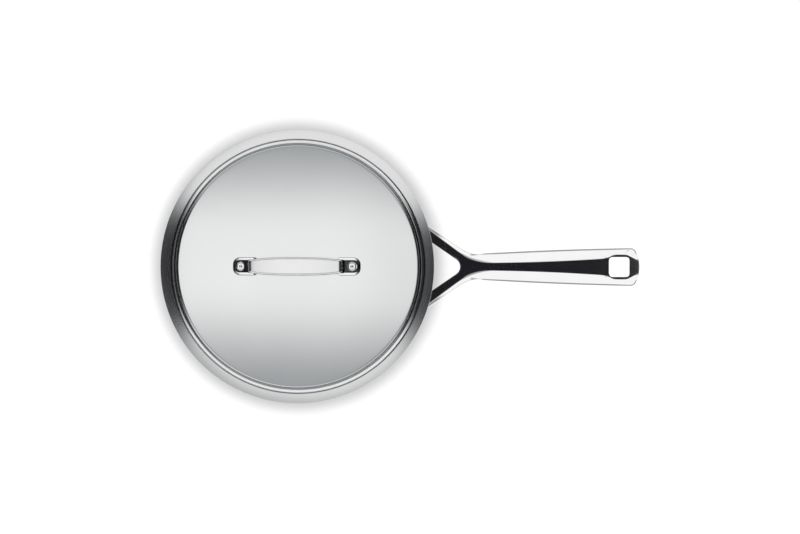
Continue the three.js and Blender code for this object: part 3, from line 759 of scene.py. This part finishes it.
def landRound():
    # edge of the land past the hole: it swells to a rim beside it, then narrows straight to the end
    left, right = -handle["holeLength"] / 2, handle["holeLength"] / 2
    top = handle["holeWidth"] / 2 + handle["holeRim"]

    def beside(end, offset, height=top):
        return Vector((end + offset[0], height + offset[1]))
    startX = left - rim["lead"]
    start = Vector((startX, landHalf(holeMiddle + startX)))
    path = curve(start, beside(left, rim["leadPull"], start.y), beside(left, rim["swellMiddle"]), 10)
    path += curve(path[-1], beside(left, rim["swellPull"]), Vector((left + rim["swellEnd"], top)), 10)[1:]
    fall = Vector((right + rim["fallStart"], top))
    path += curve(fall, beside(right, rim["fallPull"]), beside(right, rim["fallEnd"]), 6)
    tipX = handleEnd - handle["endBevel"] - holeMiddle
    return path + [Vector((tipX, handle["endLand"])), Vector((tipX, 0))]


def edgeRound():
    # outer edge past the hole: the side, the corner and the bowed end
    startX = -handle["holeLength"] / 2 - handle["holeLead"]
    cornerX = handleEnd - handle["endBow"] - holeMiddle
    side = gripHalf(holeMiddle + cornerX)
    path = []
    for x in steps(startX, cornerX - handle["endCorner"], 14):
        path.append(Vector((x, gripHalf(holeMiddle + x))))
    shoulder = Vector((cornerX + handle["endBow"] / 4, side - handle["endCorner"]))
    path += curve(path[-1], Vector((cornerX, side)), shoulder, 10)[1:]
    tipX = handleEnd - holeMiddle
    return path + curve(shoulder, Vector((tipX, side / 3)), Vector((tipX, 0)), 12)[1:]


def alongRay(path, angle):
    # where a ray from the hole's middle meets a path that runs round it
    ray = Vector((cosOf(angle), sinOf(angle)))
    for first, second in zip(path, path[1:]):
        a, b = ray.cross(first), ray.cross(second)
        if a > -1e-4 and b < 1e-4 < a - b:
            return first.lerp(second, min(max(a / (a - b), 0), 1))
    return path[-1].copy()


def holeRungs(count):
    edge = handle["holeEdge"]
    paths = [holeHalf(0), holeHalf(edge), holeHalf(2 * edge), landRound(), edgeRound()]
    starts = [turnOf(path[0]) for path in paths]
    middle = Vector((holeMiddle, 0))
    rungs = []
    for t in steps(1, 0, count):
        rungs.append([alongRay(path, start * t) + middle for path, start in zip(paths, starts)])
    return rungs


def gripRungs(first, last, count):
    rungs = []
    for t in steps(0, 1, count):
        landInner = Vector((mix(first[1].x, last[1].x, t), 0))
        middle = Vector((mix(first[2].x, last[2].x, t), 0))
        land = onEdge(landEdge, mix(first[3].x, last[3].x, t))
        outer = onEdge(outerEdge, mix(first[4].x, last[4].x, t))
        rungs.append([landInner, landInner, middle, land, outer])
    return rungs


def handleSection(rung, drop, thickness, innerDrop, crease, walled, bevel=None):
    # the bevel has a knee, half way or at the foot of a step beside the land, and turns down at its edge
    inner, landInner, middle, land, outer = rung
    plain = (0, handle["bevelKnee"], handle["edgeStart"], drop * handle["edgeDrop"])
    step, knee, edge, edgeDrop = bevel or plain
    kneeFall = mix(step, edgeDrop, knee - handle["bevelCrown"])
    kneeReach = wide if knee > handle["stepShare"] else handle["stepRound"]

    def at(p, fall):
        return Vector((p.x, p.y, landHeight(p.x) - fall))
    flank = outer.lerp(landInner, handle["flankInset"])
    belly = outer.lerp(landInner, handle["bellyInset"])
    corners = [
        (at(inner, innerDrop), handle["innerEdge"]),
        (at(landInner, 0), handle["innerEdge"]),
        (at(middle, 0), 0),
        (at(land, 0), crease),
        (at(land.lerp(outer, edge * knee), kneeFall), kneeReach),
        (at(land.lerp(outer, edge), edgeDrop), handle["outerEdge"]),
        (at(outer, drop), handle["outerEdge"]),
        (at(flank, mix(drop, thickness, 0.5)), wide),
        (at(belly, thickness), handle["bellyEdge"]),
        (at(middle, thickness), 0),
        (at(landInner, thickness), handle["innerEdge"]),
        (at(inner, thickness - innerDrop), handle["innerEdge"]),
    ]
    if not walled:
        corners = corners[2:10]
    return softened([point for point, _ in corners], [reach for _, reach in corners], closed=walled)


def armSection(rung):
    return handleSection(
        rung, handle["armDrop"], handle["armThickness"], handle["innerDrop"], handle["landCrease"], True)


def footRings():
    # the arm's section swells in a fillet onto the foot, whose edge is rounded
    middle = padFace + pad["thickness"] / 2
    spread = turnOf(armAtRadius(handle["armWidth"], middle)) - turnOf(armAtRadius(0, middle))
    width = padFace * math.radians(spread) + 2 * pad["sideMargin"]
    half = (width / 2, rivetRise + wallRivet["tail"] + pad["rivetMargin"])

    def flat(point):
        return Vector((math.radians(turnOf(point) - padTurn) * padFace, point.z - padMiddle))

    def onWall(p, radius):
        turn = padTurn + math.degrees(p.x / padFace)
        return Vector((radius * cosOf(turn), radius * sinOf(turn), padMiddle + p.y))

    def outline(p, inset):
        way = p.normalized()
        power = pad["squareness"]
        share = (abs(way.x) / (half[0] - inset)) ** power + (abs(way.y) / (half[1] - inset)) ** power
        return way * share ** (-1 / power)
    rings = []
    for a in steps(0, 90, 6):
        radius = padBack + pad["fillet"] * (1 - sinOf(a))
        swell = pad["fillet"] * (1 - cosOf(a))
        section = [flat(p) for p in armSection(armRung(radius))]
        rings.append([onWall(p + p.normalized() * swell, radius) for p in section])
    ways = section
    for share in pad["webShares"]:
        rings.append([onWall(p.lerp(outline(p, pad["edge"]), share), padBack) for p in ways])
    for a in steps(0, 90, 5):
        inset = pad["edge"] * (1 - sinOf(a))
        radius = padBack - pad["edge"] * (1 - cosOf(a))
        rings.append([onWall(outline(p, inset), radius) for p in ways])
    rings.append([onWall(outline(p, 0), padFace) for p in ways])
    rings.append([onWall(outline(p, 0) * 0.5, padFace) for p in ways])
    return rings


def bodyAt(share):
    # drop of the bevels and thickness, from the arms' to the grip's
    drop = mix(handle["armDrop"], handle["gripDrop"], share)
    return drop, mix(handle["armThickness"], handle["gripThickness"], share)


def crotchSections(rungs):
    sections = []
    for i, rung in enumerate(rungs):
        share = eased(i / (len(rungs) - 1))
        drop, thickness = bodyAt(share / 2)
        crease = mix(handle["landCrease"], handle["neckCrease"], share)
        sections.append(handleSection(rung, drop, thickness, handle["innerDrop"], crease, True))
    return sections


def gripSections(rungs):
    sections = []
    for i, rung in enumerate(rungs):
        share = eased(i / (len(rungs) - 1) / handle["neckShare"])
        drop, thickness = bodyAt(0.5 + share / 2)
        crease = mix(handle["neckCrease"], handle["landCrease"], share)
        sections.append(handleSection(rung, drop, thickness, 0, crease, False))
    return sections


def holeSections(rungs):
    # the land stands proud of the grip's bevels where it swells beside the hole
    land, outer = rungs[0][3:]
    slope = handle["gripDrop"] / (outer.y - bevelTop(outer.x))
    gripEdge = (1 - handle["edgeStart"]) * (outer - land).length
    endStart = handleEnd - handle["endBow"] - handle["endCorner"]
    sections = []
    for i, rung in enumerate(rungs):
        land, outer = rung[3:]
        step = slope * max(land.y - bevelTop(land.x), 0)
        drop = slope * max(outer.y - bevelTop(outer.x), handle["endBevel"])
        edgeDrop = drop * handle["edgeDrop"]
        drop += handle["endDrop"] * eased((outer.x - endStart) / handle["endCorner"])
        width = (outer - land).length
        edge = max(1 - gripEdge / width, handle["leastEdge"])
        share = eased(i / handle["holeBlend"])
        knee = mix(handle["bevelKnee"], handle["holeStep"] / width, share)
        crease = mix(handle["landCrease"], handle["holeCrease"], share)
        bevel = (step, knee, edge, edgeDrop)
        sections.append(
            handleSection(rung, drop, handle["gripThickness"], handle["holeEdge"], crease, True, bevel))
    return sections


def longHandle():
    crotch, hole = crotchRungs(18), holeRungs(60)
    arm = [armSection(rung) for rung in armRungs(18)]
    root = [arm[0]] + footRings()[1:]
    points, faces = [], []
    strip(root, points, faces)
    cap(root[-1], points, faces)
    strip(arm, points, faces)
    strip(crotchSections(crotch), points, faces)
    strip(gripSections(gripRungs(crotch[-1], hole[0], 56)), points, faces, closed=False)
    strip(holeSections(hole), points, faces)
    half = len(points)
    points += [Vector((p.x, -p.y, p.z)) for p in points]
    faces += [tuple(k + half for k in face[::-1]) for face in faces]
    return piece("forked_handle", points, faces, handle["creaseAngle"])


dress(longHandle(), polishedCast, "pan", "polished_steel", "long_handle")


def wallRivetProfile():
    headBack = math.sqrt(pan["innerRadius"] ** 2 - wallRivet["head"] ** 2) - pad["seatGap"]
    tailFront = padBack + pad["seatGap"]
    head, tail = [], []
    for a in steps(0, 90, 14):
        head.append(Vector((wallRivet["head"] * sinOf(a), headBack - wallRivet["headHeight"] * cosOf(a))))
        tail.append(Vector((wallRivet["tail"] * cosOf(a), tailFront + wallRivet["tailHeight"] * sinOf(a))))
    head[0].x = 0
    tail[-1].x = 0
    return head + [Vector((wallRivet["shank"], headBack)), Vector((wallRivet["shank"], tailFront))] + tail


for side, turn in (("left", -padTurn), ("right", padTurn)):
    for level, rise in (("upper", rivetRise), ("lower", -rivetRise)):
        rivet = turned("wall_rivet_" + side + "_" + level, wallRivetProfile(), 64)
        for vertex in rivet.data.vertices:
            across, up, out = vertex.co.x, vertex.co.y, vertex.co.z
            x = out * cosOf(turn) - across * sinOf(turn)
            y = out * sinOf(turn) + across * cosOf(turn)
            vertex.co = (x, y, up + (padMiddle + rise) * mm)
        dress(rivet, satinPan, "pan", "satin_steel", "handle_rivet_" + side + "_" + level)
print("long handle and its rivets made")


# Floor: a pale sheet, lifted to white for the camera and for reflections. Its matte half keeps the real
# contact shadow; round the pan the lift is painted darker as a painted shadow, and seen in a second
# reflection the floor shows painted dark shade
# shade, shadow and shadowX give the colour, the radii and the off-axis middle of the painted shadow ring
# round the pan
floor = {
    "half": 0.62, "middle": 0.1, "colour": (0.97, 0.97, 0.97, 1), "seenColour": (0.485, 0.485, 0.485, 1),
    "lift": 0.62, "shade": (0.345, 0.345, 0.35, 1), "shadow": (0.14, 0.16), "shadowX": -0.0058, "dim": 0.03,
    "rough": 0.8, "grainScale": 300.0, "grainDetail": 3.0, "grainRough": 0.15, "cells": 4, "drop": 0.0002,
}


def floorFinish():
    finish = bpy.data.materials.new("pale_floor")
    shop = Shop(finish)
    ray = shop.node("LightPath")
    seen = ray["Is Camera Ray"] + ray["Is Glossy Ray"] + ray["Is Transmission Ray"]
    place = shop.node("SeparateXYZ", {}, {"Vector": shop.node("TexCoord")["Object"]})
    # clear is 0 near the pan, inside the painted shadow, and rises to 1 beyond it; the ring's middle sits a
    # little off the pan's axis
    x, y = place["X"] - floor["shadowX"], place["Y"]
    clear = ((x * x + y * y) ** 0.5).between(*floor["shadow"])
    sockets = {"Scale": floor["grainScale"], "Detail": floor["grainDetail"]}
    rough = floor["rough"] + shop.node("TexNoise", {}, sockets)["Fac"] * floor["grainRough"]
    sockets = {"Base Color": floor["colour"], "Roughness": rough, "Specular IOR Level": 0.0}
    matte = shop.node("BsdfPrincipled", {}, sockets)["BSDF"]
    sockets["Base Color"] = floor["seenColour"]
    # the emission colour is painted grey near the pan and white beyond it: a painted shadow on top of the
    # real one
    sockets["Emission Color"] = shop.blend(clear, floor["shade"], (1, 1, 1, 1))
    sockets["Emission Strength"] = floor["lift"]
    pale = shop.node("BsdfPrincipled", {}, sockets)["BSDF"]
    shader = shop.node("MixShader", {}, {0: seen, 1: matte, 2: pale})["Shader"]
    # a ray mirrored twice or more sees the floor as a faint glow instead of its lit colour: painted dark
    # shade in deep reflections
    dim = shop.node("Emission", {}, {"Color": (1, 1, 1, 1), "Strength": floor["dim"]})["Emission"]
    again = ray["Glossy Depth"].atLeast(2)
    shader = shop.node("MixShader", {}, {0: again, 1: shader, 2: dim})["Shader"]
    shop.node("OutputMaterial", {}, {"Surface": shader})
    return finish


def paleFloor():
    half = floor["half"] / mm
    middle = floor["middle"] / mm
    cells = floor["cells"]
    points = [(middle + x, y, 0) for x in steps(-half, half, cells) for y in steps(-half, half, cells)]
    faces = []
    for i in range(cells):
        for j in range(cells):
            a = i * (cells + 1) + j
            b = a + cells + 1
            faces.append((a, b, b + 1, a + 1))
    sheet = piece("pale_floor", points, faces)
    sheet.data.materials.append(floorFinish())
    sheet.location.z = -floor["drop"]


paleFloor()

# Studio: white all round; what shines also sees a dark flag on each side and a greyer stretch overhead
studio = {
    "leftFlag": (0.84, 0.97), "leftTurn": 4, "leftTop": (28.4, 29.8),
    "leftDark": 0.014, "leftPale": 0.085, "leftFade": (54, 63), "leftLow": (66, 76),
    "rightFlag": (0.77, 0.925), "rightTurn": 1, "rightTop": (30, 37), "rightDark": 0.028,
    "rightGrey": 0.12, "rightGreyStart": (0.02, 0.3), "rightGreyEnd": (30, 45),
    "grey": 0.40, "greyStart": (0.082, 0.39), "greyShift": 0.015, "leastUp": 0.05,
    "upEnd": (0.7, 2.0), "downEnd": (0.85, 1.2), "endSplit": (-0.02, 0.02),
    "horizon": (76, 84), "horizonTone": 0.32, "deepSide": 0.03, "deepFront": 0.95,
    "frontSide": (0.2, 0.4), "frontEnd": (0.46, 0.53), "frontRise": (0.35, 0.55), "frontLean": 0.15,
    "tints": [
        (0, (0, 0, 0, 1)), (1, (1, 0.996, 0.99, 1)), (0.015, (0.0155, 0.0148, 0.0185, 1)),
        (0.1, (0.098, 0.102, 0.108, 1)), (0.4, (0.394, 0.404, 0.414, 1)),
    ],
}


def studioLight():
    world = bpy.data.worlds.new("studio")
    bpy.context.scene.world = world
    world.cycles.sampling_method = "NONE"
    shop = Shop(world)
    way = shop.node("SeparateXYZ", {}, {"Vector": shop.node("TexCoord")["Generated"]})
    x, y, z = way["X"], way["Y"], way["Z"]
    flat = (x * x + y * y + 1e-6) ** 0.5
    up = shop.node("Math", {"operation": "MAXIMUM"}, {0: z, 1: studio["leastUp"]})["Value"]
    tilt = shop.node("Math", {"operation": "ARCTAN2"}, {0: flat, 1: z})["Value"] * math.degrees(1)
    toLeft = (y * sinOf(studio["leftTurn"]) - x * cosOf(studio["leftTurn"])) / flat
    toRight = (y * sinOf(studio["rightTurn"]) + x * cosOf(studio["rightTurn"])) / flat
    left = toLeft.between(*studio["leftFlag"]) * tilt.between(*studio["leftTop"])
    right = toRight.between(*studio["rightFlag"]) * tilt.between(*studio["rightTop"])
    pale = tilt.between(*studio["leftFade"]) * (1 - tilt.between(*studio["leftLow"]))
    leftTone = studio["leftDark"] + pale * (studio["leftPale"] - studio["leftDark"])
    lean = y / up - studio["greyShift"]
    spread = flat / up
    above = y.between(*studio["endSplit"])
    end = spread.between(*studio["downEnd"]) * (1 - above) + spread.between(*studio["upEnd"]) * above
    grey = abs(lean).between(*studio["greyStart"]) * (1 - end)
    level = 1 - grey * (1 - studio["grey"])
    rightGrey = (x / up).between(*studio["rightGreyStart"]) * (1 - tilt.between(*studio["rightGreyEnd"]))
    level = level * (1 - rightGrey * studio["rightGrey"])
    level = level * (1 - tilt.between(*studio["horizon"]) * (1 - studio["horizonTone"]))
    level = level * (1 - left) + left * leftTone
    level = level * (1 - right) + right * studio["rightDark"]
    ray = shop.node("LightPath")
    mirrors = ray["Glossy Depth"]
    # a second mirror shows dark, apart from a bright patch on both sides of the handle
    front = abs(y).between(*studio["frontSide"]) * (1 - x.between(*studio["frontEnd"]))
    front = front * (z + y * studio["frontLean"]).between(*studio["frontRise"])
    front = front * (1 - mirrors.atLeast(3))
    deepTone = studio["deepSide"] + front * (studio["deepFront"] - studio["deepSide"])
    level = level * (1 - mirrors.atLeast(2) * (1 - deepTone))
    tinted = shop.node("ValToRGB", {"stops": studio["tints"]}, {"Fac": level})["Color"]
    shine = ray["Is Glossy Ray"] * (1 - ray["Diffuse Depth"].atLeast(1))
    colour = shop.blend(shine, (1, 1, 1, 1), tinted)
    light = shop.node("Background", {}, {"Color": colour, "Strength": 1.0})["Background"]
    shop.node("OutputWorld", {}, {"Surface": light})


studioLight()
bpy.context.scene.view_settings.view_transform = "Standard"

# Camera: straight down, a little towards the handle from the pan's middle
view = {"x": 101.1, "y": -0.4, "aboveRim": 1150, "frameWidth": 787, "roll": 0.116}
lens = bpy.data.cameras.new("overhead")
lens.sensor_width = 36
lens.lens = lens.sensor_width * view["aboveRim"] / view["frameWidth"]
lens.clip_start = 0.01
lens.clip_end = 100
camera = bpy.data.objects.new("overhead", lens)
camera.location = Vector((view["x"], view["y"], pan["height"] + view["aboveRim"])) * mm
camera.rotation_euler.z = math.radians(view["roll"])
bpy.context.scene.collection.objects.link(camera)
bpy.context.scene.camera = camera
print("floor, studio and camera made")
